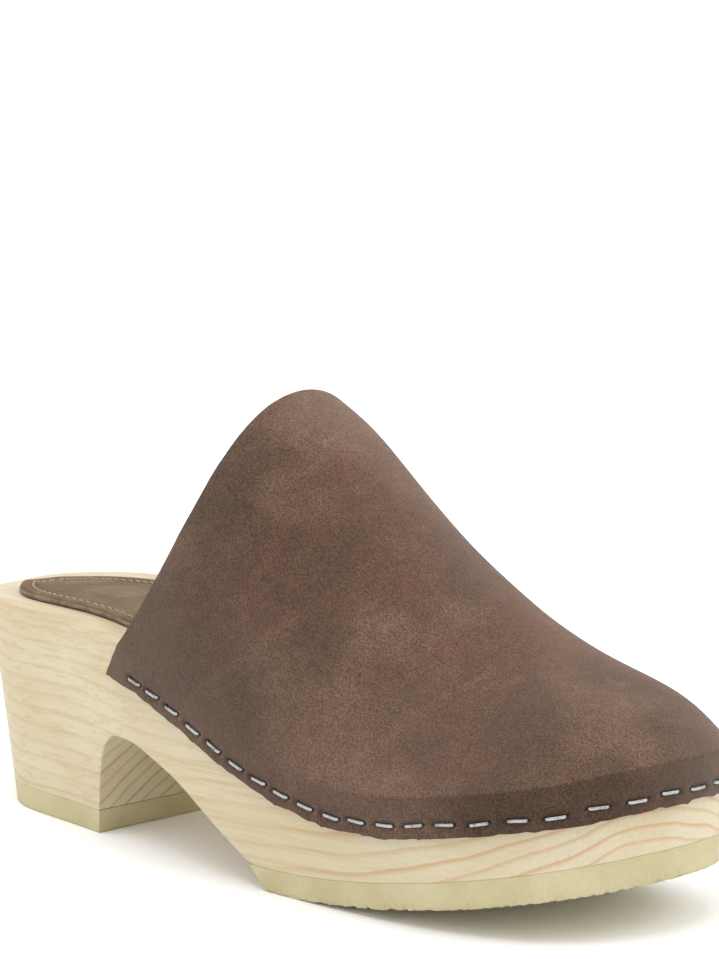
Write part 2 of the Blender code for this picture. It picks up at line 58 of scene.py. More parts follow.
RIM_OUTLINE = [
    (2.8, 9), (3.6, 0), (4.9, -9.5), (11, -18.5), (28, -29), (60, -33.7), (97, -39), (132, -41),
    (168, -41), (199, -39), (224, -32), (241, -18.5), (248, 5), (241, 28), (224, 37), (199, 40.5),
    (168, 40), (132, 35.5), (97, 32), (60, 32), (28, 31.5), (8.5, 22),
]
RIM_STATIONS = [-10, 0, 60, 92, 112, 132, 153, 173, 194, 214, 234, 250]
RIM_HEIGHTS = [57.5, 57.5, 58.5, 56, 50.5, 42.5, 35.5, 32, 32.5, 35.5, 39.5, 44]
LENGTH = 248
HEEL_SIDE_INSET = 3.8
HEEL_BACK_INSET = 13.6
FOREPART_INSET = 1.1
INSET_CHANGE = (70, 130)

HEEL_LIFT = 6.5
BREAST_LINE = [(73.5, 0), (75.3, 12.5), (77, 20), (79.8, 25.8), (83, 28.6), (88, 29.4)]
ARCH_LINE = [(95, 29), (103, 26.8), (115.5, 22), (124.5, 16.8), (132.5, 12), (142, 6.6)]
BREAST_FOOT = 74.5
SOLE_TOP_START = 142
SOLE_TOP_REAR = 143
SOLE_BOTTOM_START = 149
SOLE_REAR_THICKNESS = 6
SOLE_TOE_EXTRA = 1.5
SPRING_START = 156
SPRING_POWER = 1.55
TOE_SPRING = 14.3

RIM_ROUND = 1.6
BAND_WIDTH = 8.5
BAND_DROP_OUTER = 0.4
BAND_DROP_INNER = 2.4
BAND_TILT_REACH = 25
BAND_CROWN = 1.4
SEAT_MIDDLE_INSET = 20
SEAT_SLOPE = 0.1
STRAIGHT_INSET = 12.8
MIDDLE_REACH = 16
MIDDLE_FROM_ENDS = 30
COVER_INSET = 9
COVER_SKIRT = 0.8
FOAM_THICKNESS = 1.2
THREAD_INSET = 12.5

UPPER_THICKNESS = 2
UPPER_FACE = GAP + UPPER_THICKNESS
UPPER_DROP = 10.3
CORNER_STATION = 86
THROAT_SWEEP = 7.4
THROAT_SWEEP_SHARE = 0.35
THROAT_LEAN = 0.85
THROAT_LEAN_SHARE = 0.4
TOE_LEAN = 0.85
RIDGE_STATIONS = [122, 134, 154, 180, 207, 225.5]
RIDGE_HEIGHTS = [122.2, 115.2, 98.5, 79.3, 66.1, 59.8]
RIDGE_SIDE_SHIFT = 8.2
RIDGE_SHARE = 0.83
RIDGE_EASE = 1.8
FAN_START = 0.4
WALL_FULLNESS = 0.52
RIDGE_FULLNESS = 0.51
LINING_THICKNESS = 0.7
LINING_GAP = 0.5
PUFF_THICKNESS = 0.9
PUFF_START = 0.3
PUFF_CLEARANCE = 0.004
LINING_THROAT_MARGIN = 0.008
LINING_FOOT = 0.08

STAPLE_COUNT = 40
STAPLE_DROP = 7.2
STAPLE_PITCH = 9.5
STAPLE_CROWDING = 0.04
STAPLE_CROWN = 5.4
STAPLE_LEG = 8

# --- Fineness of the visual surfaces ---

OUTLINE_COUNT = 2400
ARC_TABLE_COUNT = 3000
FOOT_ROUNDS = 8
WOOD_STEP = 1.2
UPPER_COLUMNS = 560
UPPER_EDGE_ROWS = 18
UPPER_WALL_ROWS = 56
LAYER_ROWS = 48
LINING_COLUMNS = 110
PUFF_COLUMNS = 180
ARCH_POINTS = 400
FLAT_POINTS = 200


# --- Curves ---

def natural_spline(knots, values, at):
    """A natural cubic spline through values (one number or one point each), read at some places."""
    knots = np.asarray(knots, float)
    values = np.asarray(values, float)
    at = np.asarray(at, float)
    step = np.diff(knots)
    slope = (np.diff(values, axis=0).T / step).T
    matrix = np.eye(len(knots))
    right = np.zeros(values.shape)
    for i in range(1, len(knots) - 1):
        matrix[i, i - 1:i + 2] = step[i - 1], 2 * (step[i - 1] + step[i]), step[i]
        right[i] = 6 * (slope[i] - slope[i - 1])
    bend = np.linalg.solve(matrix, right)
    i = np.clip(np.searchsorted(knots, at) - 1, 0, len(knots) - 2)
    shape = at.shape + (1,) * (values.ndim - 1)
    after = (at - knots[i]).reshape(shape)
    before = (knots[i + 1] - at).reshape(shape)
    width = step[i].reshape(shape)
    curved = (bend[i] * before**3 + bend[i + 1] * after**3) / (6 * width)
    start = (values[i] / width - bend[i] * width / 6) * before
    end = (values[i + 1] / width - bend[i + 1] * width / 6) * after
    return curved + start + end


def closed_spline(points, count):
    """Count points on a smooth closed curve through the given points."""
    points = np.asarray(points, float)
    wrap = 4
    ring = np.vstack([points[-wrap:], points, points[:wrap + 1]])
    chords = np.linalg.norm(np.diff(ring, axis=0), axis=1)
    knots = np.r_[0, np.cumsum(np.sqrt(chords))]
    places = np.linspace(knots[wrap], knots[wrap + len(points)], count + 1)[:-1]
    return natural_spline(knots, ring, places)


def smoothstep(start, end, x):
    t = np.clip((x - start) / (end - start), 0, 1)
    return t * t * (3 - 2 * t)


def bump_at(x, width):
    """A smooth bump of height 1 at x = 0."""
    return np.exp(-(x / width)**2)


def unit(vectors):
    return vectors / np.linalg.norm(vectors, axis=-1)[..., None]


def distances_along(points):
    """Distance from the first of a line's points to each of them, along the line."""
    return np.r_[0, np.cumsum(np.linalg.norm(np.diff(points, axis=0), axis=1))]


def wobble(at, period, seed):
    """Smooth random values between -1 and 1 along a line, with a new one every period."""
    at = np.asarray(at, float) / period
    knots = np.arange(math.floor(at.min()) - 1, math.ceil(at.max()) + 3)
    values = np.random.default_rng(seed).uniform(-1, 1, len(knots))
    i = np.floor(at - knots[0]).astype(int)
    blend = smoothstep(0, 1, at - knots[i])
    return values[i] * (1 - blend) + values[i + 1] * blend


# --- The rim and the side wall of the base ---

RIM = closed_spline(RIM_OUTLINE, OUTLINE_COUNT)
RIM = np.roll(RIM, -int(np.argmin(RIM[:, 0])), axis=0)
RIM_LOOP = np.vstack([RIM, RIM[:1]])
RIM_ARC = distances_along(RIM_LOOP)
TOE_INDEX = int(np.argmax(RIM[:, 0]))
TOE_ARC = RIM_ARC[TOE_INDEX]
RIM_ALONG = unit(np.roll(RIM, -1, axis=0) - np.roll(RIM, 1, axis=0))
RIM_NORMALS = np.column_stack([RIM_ALONG[:, 1], -RIM_ALONG[:, 0]])[np.r_[:len(RIM), 0]]


def rim_at(arc):
    """Plan point and outward normal of the rim at a distance along it from the back of the heel."""
    arc = np.mod(arc, RIM_ARC[-1])
    point, normal = (
        np.stack([np.interp(arc, RIM_ARC, values[:, k]) for k in (0, 1)], axis=-1)
        for values in (RIM_LOOP, RIM_NORMALS)
    )
    return point, unit(normal)


def arc_at_station(x, inner_side):
    """Distance along the rim to the point on one side of the shoe at station x."""
    if inner_side:
        return np.interp(-x, -RIM_LOOP[TOE_INDEX:, 0], RIM_ARC[TOE_INDEX:])
    return np.interp(x, RIM_LOOP[:TOE_INDEX + 1, 0], RIM_ARC[:TOE_INDEX + 1])


def rim_height(x):
    return natural_spline(RIM_STATIONS, RIM_HEIGHTS, x)


def wall_at(arc, height):
    """Plan point and outward normal of the base's side wall at a height above the ground."""
    point, normal = rim_at(arc)
    x = point[..., 0]
    change = smoothstep(*INSET_CHANGE, x)
    side = HEEL_SIDE_INSET + (FOREPART_INSET - HEEL_SIDE_INSET) * change
    end = HEEL_BACK_INSET + (FOREPART_INSET - HEEL_BACK_INSET) * change
    inset = np.stack([normal[..., 0] * end, normal[..., 1] * side], axis=-1)
    below_rim = 1 - height / rim_height(x)
    return point - inset * np.asarray(below_rim)[..., None], normal


def rim_height_at(arc):
    return rim_height(rim_at(arc)[0][..., 0])


def foot_station(arcs, height_at):
    """Station where the wall at each arc meets a surface whose height depends on the station."""
    station = rim_at(arcs)[0][:, 0]
    for _ in range(FOOT_ROUNDS):
        station = wall_at(arcs, height_at(station))[0][:, 0]
    return station


def side_arcs(stations, height_at):
    """Arcs on the outer and the inner side where the foot of the wall is at those stations."""
    sides = []
    for start in (0, RIM_ARC[-1]):
        arcs = np.linspace(start, TOE_ARC, ARC_TABLE_COUNT)
        sides.append(np.interp(stations, foot_station(arcs, height_at), arcs))
    return sides


# --- Underside ---

def toe_spring(x):
    """How far the sole's tread has left the ground at station x."""
    rise = np.clip((x - SPRING_START) / (LENGTH - SPRING_START), 0, None)
    return TOE_SPRING * rise**SPRING_POWER


def sole_top(x):
    share = np.clip((x - SOLE_TOP_START) / (LENGTH - SOLE_TOP_START), 0, 1)
    return toe_spring(x) + SOLE_REAR_THICKNESS + SOLE_TOE_EXTRA * share


PAST_HEEL = -20
PAST_TOE = LENGTH + 12
FLAT_START = SOLE_TOP_START + 3


def underside_line():
    """Stations and heights along the wood's underside: heel, breast, arch and sole."""
    knots, heights = zip(*(BREAST_LINE[1:] + ARCH_LINE))
    curved = np.linspace(knots[0], knots[-1], ARCH_POINTS)
    flat = np.linspace(FLAT_START, PAST_TOE, FLAT_POINTS)
    tread = HEEL_LIFT + GLUE_LINE
    stations = np.r_[PAST_HEEL, BREAST_FOOT, curved, flat]
    arch = natural_spline(knots, heights, curved)
    return stations, np.r_[tread, tread, arch, sole_top(flat) + GLUE_LINE]


UNDERSIDE = underside_line()


def underside_height(x):
    return np.interp(x, *UNDERSIDE)


# --- Meshes ---

def find_shift():
    """From the clog's own origin behind the heel to the frame's, under its middle."""
    low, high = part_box("wood_base")
    middle = (np.array(low) + np.array(high)) / 2 / MM
    ends = np.array([0, TOE_ARC])
    own_x = wall_at(ends, rim_height_at(ends) - RIM_ROUND)[0][:, 0].mean()
    own_y = (RIM[:, 1].min() + RIM[:, 1].max()) / 2
    return np.array([middle[0] - own_x, middle[1] - own_y, 0])


SHIFT = find_shift()


def place(points):
    """Points of the clog in metres, in the frame."""
    return (np.asarray(points, float) + SHIFT) * MM


def mesh_from(name, points, faces, sharp_degrees=40):
    mesh = bpy.data.meshes.new("clog_" + name)
    mesh.from_pydata(place(points), [], faces)
    mesh.validate()
    mesh.shade_smooth()
    mesh.set_sharp_from_angle(angle=math.radians(sharp_degrees))
    return mesh


def add_object(data):
    made = bpy.data.objects.new(data.name, data)
    bpy.context.scene.collection.objects.link(made)
    return made


def piece(mesh, looks, slot, *nodes):
    """A piece that rides on the clog's one body and stands for some CAD nodes."""
    made = add_object(mesh)
    for look in looks:
        mesh.materials.append(look)
    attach(made, "root")
    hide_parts(*nodes)
    return made


def grid_faces(rows, columns, closed, first=0):
    """Quads between the points of a grid, whose rows may be closed rings."""
    steps = columns if closed else columns - 1
    row, column = np.meshgrid(np.arange(rows - 1), np.arange(steps), indexing="ij")
    here = first + row * columns + column
    beside = first + row * columns + (column + 1) % columns
    quads = np.stack([here, beside, beside + columns, here + columns], axis=-1)
    return quads.reshape(-1, 4)


def tube_faces(rings, sides, first=0):
    """Faces of a closed tube: quads between its rings, and a cap at each end."""
    last = first + (rings - 1) * sides
    caps = [list(range(first, first + sides))[::-1], list(range(last, last + sides))]
    return grid_faces(rings, sides, closed=True, first=first).tolist() + caps


def ladder_faces(first, count, facing_up):
    """Faces that close a ring, between the points that face each other across the shoe."""
    faces = []
    for i in range(count // 2):
        quad = [i, i + 1, count - i - 1, (count - i) % count]
        corners = [first + v for k, v in enumerate(quad) if v not in quad[:k]]
        faces.append(corners if facing_up else corners[::-1])
    return faces


def solid_of_rings(name, rings):
    """A closed solid: rings from the middle of its underside, out, up and in again on top."""
    count = len(rings[0])
    faces = grid_faces(len(rings), count, closed=True).tolist()
    faces += ladder_faces(0, count, facing_up=False)
    faces += ladder_faces((len(rings) - 1) * count, count, facing_up=True)
    return mesh_from(name, np.vstack(rings), faces)


# --- Wood ---

WOOD_ENDS = (20, 228)
EDGE_ROUND = 0.55
GLUED_EDGE_ROUND = 0.12
EDGE_STEPS = 3
WALL_ROWS = 12
RIM_ROUND_STEPS = 6
BAND_STEPS = 6


def wood_stations():
    """Stations of the base's columns: along its underside, and round its heel and toe."""
    line_x = UNDERSIDE[0]
    length = distances_along(np.column_stack(UNDERSIDE))
    first, corner, last = np.interp([WOOD_ENDS[0], BREAST_FOOT, WOOD_ENDS[1]], line_x, length)
    before = np.arange(corner, first, -WOOD_STEP)[::-1]
    after = np.arange(corner + WOOD_STEP, last, WOOD_STEP)
    middle = np.interp(np.r_[before, after], length, line_x)
    heel_end, toe_end = arc_at_station(WOOD_ENDS, inner_side=False)
    heel = foot_station(np.arange(WOOD_STEP, heel_end, WOOD_STEP), underside_height)
    toe = foot_station(np.arange(toe_end, TOE_ARC - WOOD_STEP / 2, WOOD_STEP), underside_height)
    clear = WOOD_STEP / 4
    return np.r_[heel[heel < middle[0] - clear], middle, toe[toe > middle[-1] + clear]]


def eased_foot(arcs, height):
    """Rings round the base's lower edge, from its underside to its side wall."""
    along = np.mod(np.roll(arcs, -1) - np.roll(arcs, 1), RIM_ARC[-1])
    climb = np.roll(height, -1) - np.roll(height, 1)
    size = np.hypot(along, climb)
    foot, normal = wall_at(arcs, height)
    open_edge = smoothstep(BREAST_FOOT, BREAST_FOOT + 1, foot[:, 0])
    open_edge = open_edge * smoothstep(SOLE_TOP_REAR + 1, SOLE_TOP_REAR, foot[:, 0])
    ease = GLUED_EDGE_ROUND + (EDGE_ROUND - GLUED_EDGE_ROUND) * open_edge
    wall_arc = arcs - ease * climb / size
    wall_height = height + ease * along / size
    under = foot - normal * ease[:, None]
    under = np.column_stack([under, underside_height(under[:, 0])])
    corner = np.column_stack([foot, height])
    wall = np.column_stack([wall_at(wall_arc, wall_height)[0], wall_height])
    rings = []
    for t in np.linspace(0, 1, EDGE_STEPS + 1):
        rings.append((1 - t)**2 * under + 2 * t * (1 - t) * corner + t**2 * wall)
    return rings, wall_arc, wall_height


def wall_rings(arcs, foot_arc, foot_height):
    top = rim_height_at(arcs) - RIM_ROUND
    rings = []
    for t in np.linspace(0, 1, WALL_ROWS)[1:]:
        height = foot_height + (top - foot_height) * t
        plan, _ = wall_at(foot_arc + (arcs - foot_arc) * t, height)
        rings.append(np.column_stack([plan, height]))
    return rings


def rim_ring(arcs, inset, drop):
    height = rim_height_at(arcs) - drop
    point, normal = wall_at(arcs, height)
    return np.column_stack([point - normal * inset, height])


def middle_line(x):
    """Points on the middle line of the footbed, at stations away from its two ends."""
    x = np.clip(x, RIM[0, 0] + MIDDLE_FROM_ENDS, LENGTH - MIDDLE_FROM_ENDS)
    sides = [rim_at(arc_at_station(x, inner_side))[0][..., 1] for inner_side in (False, True)]
    return np.stack([x, sum(sides) / 2], axis=-1)


def footbed_ring(arcs, inset, drop):
    """A ring that far inside the rim. Far in, its points head for the middle line, so that its
    corners do not fold."""
    point, normal = rim_at(arcs)
    straight = min(inset, STRAIGHT_INSET)
    point = point - normal * straight
    point = point + (middle_line(point[:, 0]) - point) * (inset - straight) / MIDDLE_REACH
    return np.column_stack([point, rim_height(point[:, 0]) - drop])


def band_drop(arcs):
    """How far the inside of the bare band lies below the rim: the footbed tilts inwards."""
    share = smoothstep(-BAND_TILT_REACH, BAND_TILT_REACH, rim_at(arcs)[0][:, 1])
    return BAND_DROP_OUTER + (BAND_DROP_INNER - BAND_DROP_OUTER) * share


def seat_drop(arcs, inset):
    """How far the insole's seat lies below the rim's height, at a distance inside the rim."""
    return band_drop(arcs) + SEAT_SLOPE * (inset - BAND_WIDTH)


def footbed_rings(arcs):
    rings = []
    for turn in np.linspace(0, np.pi / 2, RIM_ROUND_STEPS + 1)[1:]:
        inset = RIM_ROUND * (1 - math.cos(turn))
        rings.append(rim_ring(arcs, inset, RIM_ROUND * (1 - math.sin(turn))))
    for share in np.linspace(0, 1, BAND_STEPS + 1)[1:]:
        inset = RIM_ROUND + (BAND_WIDTH - RIM_ROUND) * share
        rings.append(footbed_ring(arcs, inset, band_drop(arcs) * share**BAND_CROWN))
    rings.append(footbed_ring(arcs, SEAT_MIDDLE_INSET, seat_drop(arcs, SEAT_MIDDLE_INSET)))
    return rings


def make_wood_base(look):
    outer, inner = side_arcs(wood_stations(), underside_height)
    arcs = np.r_[0, outer, TOE_ARC, inner[::-1]]
    height = underside_height(foot_station(arcs, underside_height))
    rings, wall_arc, wall_height = eased_foot(arcs, height)
    rings += wall_rings(arcs, wall_arc, wall_height)
    rings += footbed_rings(arcs)
    piece(solid_of_rings("wood_base", rings), [look], "wood", "wood_base")


# --- Rubber soles ---

SOLE_SIDE_COUNT = 330
SOLE_FLAT_COUNT = 60
TREAD_EASE = 0.35
TOP_EASE = 0.1
TOOTH_DEPTH = 0.6
TOOTH_OUT = 0.3
TOOTH_FADE = 1.6
HEEL_RAGGED = 0.25
TORN_SHARE = 0.65
SOLE_LEVELS = [0, 0.03, 0.07, 0.12, 0.18, 0.25, 0.35, 0.5, 0.65, 0.8, 0.92, 1]
TREAD_RIM = 0.05


def sole_ring(curved_arc, flat_station, height_at, inset=0.0):
    """A ring at one level of a sole: round its curved end and straight across its flat end."""
    outer_end, inner_end = (float(side) for side in side_arcs(flat_station, height_at))
    if curved_arc == 0:
        inner_end -= RIM_ARC[-1]
    share = np.linspace(0, 1, SOLE_SIDE_COUNT + 1)
    sides = []
    for end, shares in ((outer_end, share), (inner_end, share[:0:-1])):
        arcs = curved_arc + (end - curved_arc) * shares
        sides.append(wall_at(arcs, height_at(foot_station(arcs, height_at))))
    (outer, outer_normals), (inner, inner_normals) = sides
    across = np.linspace(0, 1, SOLE_FLAT_COUNT + 1)[1:-1, None]
    flat = outer[-1] + (inner[0] - outer[-1]) * across
    plan = np.vstack([outer, flat, inner])
    facing = 1.0 if curved_arc == 0 else -1.0
    flat_normals = np.tile([facing, 0.0], (len(flat), 1))
    normals = np.vstack([outer_normals, flat_normals, inner_normals])
    corners = [len(outer) - 1, len(outer) + len(flat)]
    normals[corners] += [facing, 0.0]
    return plan - normals * inset, normals


def tread_teeth(plan):
    """Distances round the tread's edge, and how far it is torn there."""
    run = distances_along(np.vstack([plan, plan[:1]]))[1:]
    teeth = np.clip(wobble(run, 1.1, 3) + 0.6 * wobble(run, 0.6, 4), -0.2, 1.2)
    return run, teeth * (1 - TORN_SHARE + TORN_SHARE * (wobble(run, 17, 5) > -0.2))


def make_sole(node, curved_arc, flat_stations, bottom_at, top_at, ragged, look):
    """A rubber sole with eased edges, the lower one torn into small teeth where it is ragged."""
    rings = []
    for level in SOLE_LEVELS:
        def height_at(x, level=level):
            return bottom_at(x) + (top_at(x) - bottom_at(x)) * level

        station = flat_stations[0] + (flat_stations[1] - flat_stations[0]) * level
        above = level * (top_at(station) - bottom_at(station))
        below = (1 - level) * (top_at(station) - bottom_at(station))
        ease = max(0, TREAD_EASE - above) + max(0, TOP_EASE - below)
        plan, normals = sole_ring(curved_arc, station, height_at, ease)
        if not rings:
            run, teeth = tread_teeth(plan)
        fade = math.exp(-above / TOOTH_FADE) * ragged
        plan = plan + normals * (TOOTH_OUT * fade * wobble(run, 0.9, 6 + int(level * 40)))[:, None]
        height = height_at(plan[:, 0]) + TOOTH_DEPTH * teeth * fade
        rings.append(np.column_stack([plan, height]))
    if curved_arc != 0:
        rings = [np.vstack([ring[:1], ring[:0:-1]]) for ring in rings]
    tread = rings[0].copy()
    centre = (tread[1:] + tread[:0:-1]) / 2
    tread[1:] += (centre - tread[1:]) * TREAD_RIM
    tread[:, 2] = bottom_at(tread[:, 0]) + TREAD_RIM
    piece(solid_of_rings(node, [tread] + rings), [look], "crepe_rubber", node)


def make_heel_toplift(look):
    def ground(x):
        return np.zeros_like(x, dtype=float)

    def lift(x):
        return ground(x) + HEEL_LIFT

    stations = (BREAST_LINE[0][0], BREAST_FOOT)
    make_sole("heel_toplift", 0, stations, ground, lift, HEEL_RAGGED, look)


def make_forepart_outsole(look):
    stations = (SOLE_BOTTOM_START, SOLE_TOP_REAR)
    make_sole("forepart_outsole", TOE_ARC, stations, toe_spring, sole_top, 1, look)


# --- Insole ---

INSOLE_STEP = 1.0
SEAM_DIP = 0.55
SEAM_WIDTH = 1.1
COVER_CROWN = 1.1
COVER_TOP = 2.5
COVER_BULGE = 0.35
COVER_ROUND = 0.9
COVER_INSETS = np.r_[10.4:15.1:0.35, 15.8:20:0.9, 20]  # closer together round the sewn groove
COVER_MIDDLE = (0.12, 0.26, 0.42)
PUCKER = 0.12
PUCKER_WIDTH = 1.8
STITCH_PITCH = 3.4
STITCH_LENGTH = 2.6
STITCH_RADIUS = 0.25
STITCH_SIDES = 8
STITCH_RINGS = 9
STITCH_RISE = 0.336
STITCH_DIVE = 0.6
PLY_DEPTH = 0.16
PLY_TURNS = 1.5


def insole_arcs():
    """Arcs of a ring in pairs that face each other across the shoe."""
    reach = RIM[TOE_INDEX, 0] - RIM[0, 0]
    count = int(round(TOE_ARC / INSOLE_STEP))
    turns = np.linspace(0, np.pi, count + 1)[1:-1]
    stations = RIM[0, 0] + reach * (1 - np.cos(turns)) / 2
    outer, inner = (arc_at_station(stations, inner_side) for inner_side in (False, True))
    return np.r_[0, outer, TOE_ARC, inner[::-1]]


def insole_ring(arcs, inset, above_seat):
    return footbed_ring(arcs, inset, seat_drop(arcs, inset) - above_seat)


def cover_height(inset):
    """Height of the padded cover above its seat: a soft edge, the sewn groove, then a low crown."""
    groove = SEAM_DIP * bump_at(inset - THREAD_INSET, SEAM_WIDTH)
    crown = COVER_CROWN * smoothstep(THREAD_INSET, SEAT_MIDDLE_INSET + 4, inset)
    return COVER_TOP - groove + crown


def make_insole_cover(look, edge_look):
    arcs = insole_arcs()
    seat = GAP + 0.02
    wall_top = COVER_TOP - COVER_ROUND
    rings = [
        insole_ring(arcs, SEAT_MIDDLE_INSET, GAP + FOAM_THICKNESS),
        insole_ring(arcs, COVER_INSET + COVER_SKIRT, GAP + FOAM_THICKNESS),
        insole_ring(arcs, COVER_INSET + COVER_SKIRT, seat),
    ]
    for share in np.linspace(0, 1, 7):
        bulge = COVER_BULGE * math.sin(math.pi * share)
        rings.append(insole_ring(arcs, COVER_INSET - bulge, seat + (wall_top - seat) * share))
    skirt_rings = len(rings)
    for turn in np.linspace(0, np.pi / 2, 6)[1:]:
        inset = COVER_INSET + COVER_ROUND * (1 - math.cos(turn))
        rings.append(insole_ring(arcs, inset, wall_top + COVER_ROUND * math.sin(turn)))
    run = arcs / STITCH_PITCH * 2 * np.pi
    for inset in COVER_INSETS:
        pucker = PUCKER * bump_at(inset - THREAD_INSET, PUCKER_WIDTH) * np.cos(run)
        rings.append(insole_ring(arcs, inset, cover_height(inset) + pucker))
    middle = rings[-1]
    facing = middle[(len(arcs) - np.arange(len(arcs))) % len(arcs)]
    width = np.linalg.norm(facing - middle, axis=1)
    for share in COVER_MIDDLE:
        ring = middle + (facing - middle) * share
        ring[:, 2] += 0.5 * COVER_CROWN * smoothstep(0, 0.5, share) * smoothstep(0, 20, width)
        rings.append(ring)
    mesh = solid_of_rings("insole_cover", rings)
    made = piece(mesh, [look, edge_look], "insole_suede", "insole_cover")
    for face in mesh.polygons:
        if face.index < (skirt_rings - 1) * len(arcs):
            face.material_index = 1


def make_insole_foam(look):
    arcs = insole_arcs()
    edge = COVER_INSET + COVER_SKIRT + GAP
    top = FOAM_THICKNESS - 0.1
    rings = [
        insole_ring(arcs, SEAT_MIDDLE_INSET, GAP),
        insole_ring(arcs, edge + 0.3, GAP),
        insole_ring(arcs, edge, GAP + 0.3),
        insole_ring(arcs, edge, top - 0.4),
        insole_ring(arcs, edge + 0.4, top),
        insole_ring(arcs, SEAT_MIDDLE_INSET, top),
    ]
    made = piece(solid_of_rings("insole_foam", rings), [look], "foam", "insole_foam")


def make_insole_stitching(look):
    """Separate stitches of two-ply thread that dive into the cover at both ends."""
    total = RIM_ARC[-1]
    count = int(total / STITCH_PITCH)
    points = []
    faces = []
    turn = np.arange(STITCH_SIDES) / STITCH_SIDES * 2 * np.pi
    for number in range(count):
        middle = (number + 0.5) * total / count
        first = len(points) * STITCH_SIDES
        for share in np.linspace(-1, 1, STITCH_RINGS):
            arcs = middle + share * STITCH_LENGTH / 2 + np.array([-0.1, 0, 0.1])
            height = cover_height(THREAD_INSET) + STITCH_RISE - STITCH_DIVE * share**4
            before, centre, after = insole_ring(arcs, THREAD_INSET, height)
            along = unit(after - before)
            side = unit(np.cross(along, [0, 0, 1]))
            up = np.cross(side, along)
            ply = 1 + PLY_DEPTH * np.cos(2 * (turn + PLY_TURNS * np.pi * share))
            radius = STITCH_RADIUS * math.sqrt(max(0.06, 1 - share**6)) * ply
            across = (np.cos(turn) * radius)[:, None] * side
            points.append(centre + across + (np.sin(turn) * radius)[:, None] * up)
        faces += tube_faces(STITCH_RINGS, STITCH_SIDES, first)
    mesh = mesh_from("insole_stitching", np.vstack(points), faces)
    piece(mesh, [look], "thread", "insole_stitching")


# --- Staples ---

STAPLE_WIDTH = 0.82  # slimmer wire than in the CAD model, and pressed in
STAPLE_THICKNESS = 0.6
STAPLE_SINK = 0.45
STAPLE_BEND = 0.75
STAPLE_SIDES = 16
STAPLE_SQUARENESS = 0.62
STAPLE_TIP = 0.35
STAPLE_TILT = 4.5
STAPLE_SLIP = 0.35
STAPLE_SEED = 11

CORNER_ARCS = [float(arc_at_station(CORNER_STATION, inner_side)) for inner_side in (False, True)]


def staple_arcs():
    """Places of the staples along the cut edge, a little closer together towards the corners."""
    middle = sum(CORNER_ARCS) / 2
    steps = np.arange(STAPLE_COUNT) - (STAPLE_COUNT - 1) / 2
    return middle + STAPLE_PITCH * steps - STAPLE_CROWDING * steps * np.abs(steps)


def staple_frame(arc, drop, tilt):
    """A frame on the upper's outer face: x along the edge, y out of the wood, z up the wall."""
    def face_point(at):
        height = rim_height_at(at) - drop
        plan, normal = wall_at(at, height)
        plan = plan + normal * UPPER_FACE
        return Vector((*plan, float(height))), Vector((*normal, 0))

    reach = STAPLE_CROWN / 2
    middle, out = face_point(np.float64(arc))
    before, _ = face_point(np.float64(arc - reach))
    after, _ = face_point(np.float64(arc + reach))
    along = (after - before).normalized()
    out = (out - along * out.dot(along)).normalized()
    frame_matrix = Matrix((along, out, along.cross(out))).transposed().to_4x4()
    frame_matrix = frame_matrix @ Matrix.Rotation(math.radians(tilt), 4, "Y")
    frame_matrix.translation = middle
    return frame_matrix


def staple_frames():
    """Every staple sits a little off its even place, as staples driven by hand do."""
    random = np.random.default_rng(STAPLE_SEED)
    frames = []
    for arc in staple_arcs():
        slip, drop, tilt = random.uniform(-1, 1, 3)
        frames.append(staple_frame(arc + slip * STAPLE_SLIP, STAPLE_DROP + drop * STAPLE_SLIP,
                                   tilt * STAPLE_TILT))
    return frames


def staple_path():
    """Centreline of a staple's wire, from the tip of one leg to the tip of the other."""
    half = (STAPLE_CROWN - STAPLE_THICKNESS) / 2
    top = GAP + STAPLE_THICKNESS / 2 - STAPLE_SINK
    turns = np.linspace(0, np.pi / 2, 6)
    bend_x = half - STAPLE_BEND + STAPLE_BEND * np.sin(turns)
    bend_y = top - STAPLE_BEND + STAPLE_BEND * np.cos(turns)
    x = np.r_[np.linspace(0, half - STAPLE_BEND, 3)[:-1], bend_x, half, half, half]
    leg = [top - STAPLE_BEND - 2, GAP - STAPLE_LEG + 1, GAP - STAPLE_LEG + 0.1]
    y = np.r_[top, top, bend_y, leg]
    return np.r_[-x[:0:-1], x], np.r_[y[:0:-1], y]


def staple_points():
    """Points of one staple in its own frame: flattened wire swept along its path."""
    x, y = staple_path()
    along = unit(np.stack([np.gradient(x), np.gradient(y)], axis=1))
    turn = np.arange(STAPLE_SIDES) / STAPLE_SIDES * 2 * np.pi
    round_wire = np.array([np.cos(turn), np.sin(turn)])
    squared = np.sign(round_wire) * np.abs(round_wire)**STAPLE_SQUARENESS
    across = squared[0] * STAPLE_WIDTH / 2
    through = squared[1] * STAPLE_THICKNESS / 2
    size = np.ones(len(x))
    size[[0, -1]] = STAPLE_TIP
    rings = []
    for k in range(len(x)):
        normal = np.array([-along[k, 1], along[k, 0]])
        plan = [x[k], y[k]] + through[:, None] * size[k] * normal
        rings.append(np.column_stack([plan, across * size[k]]))
    return rings


def make_staples(frames, look):
    rings = staple_points()
    faces = tube_faces(len(rings), STAPLE_SIDES)
    points = np.vstack(rings)
    for number, frame_matrix in enumerate(frames, start=1):
        matrix = np.array(frame_matrix)
        node = f"staple_{number:02d}"
        mesh = mesh_from(node, points @ matrix[:3, :3].T + matrix[:3, 3], faces)
        piece(mesh, [look], "staple_steel", node)


# --- Upper ---

def ridge_height(x):
    return natural_spline(RIDGE_STATIONS, RIDGE_HEIGHTS, x)


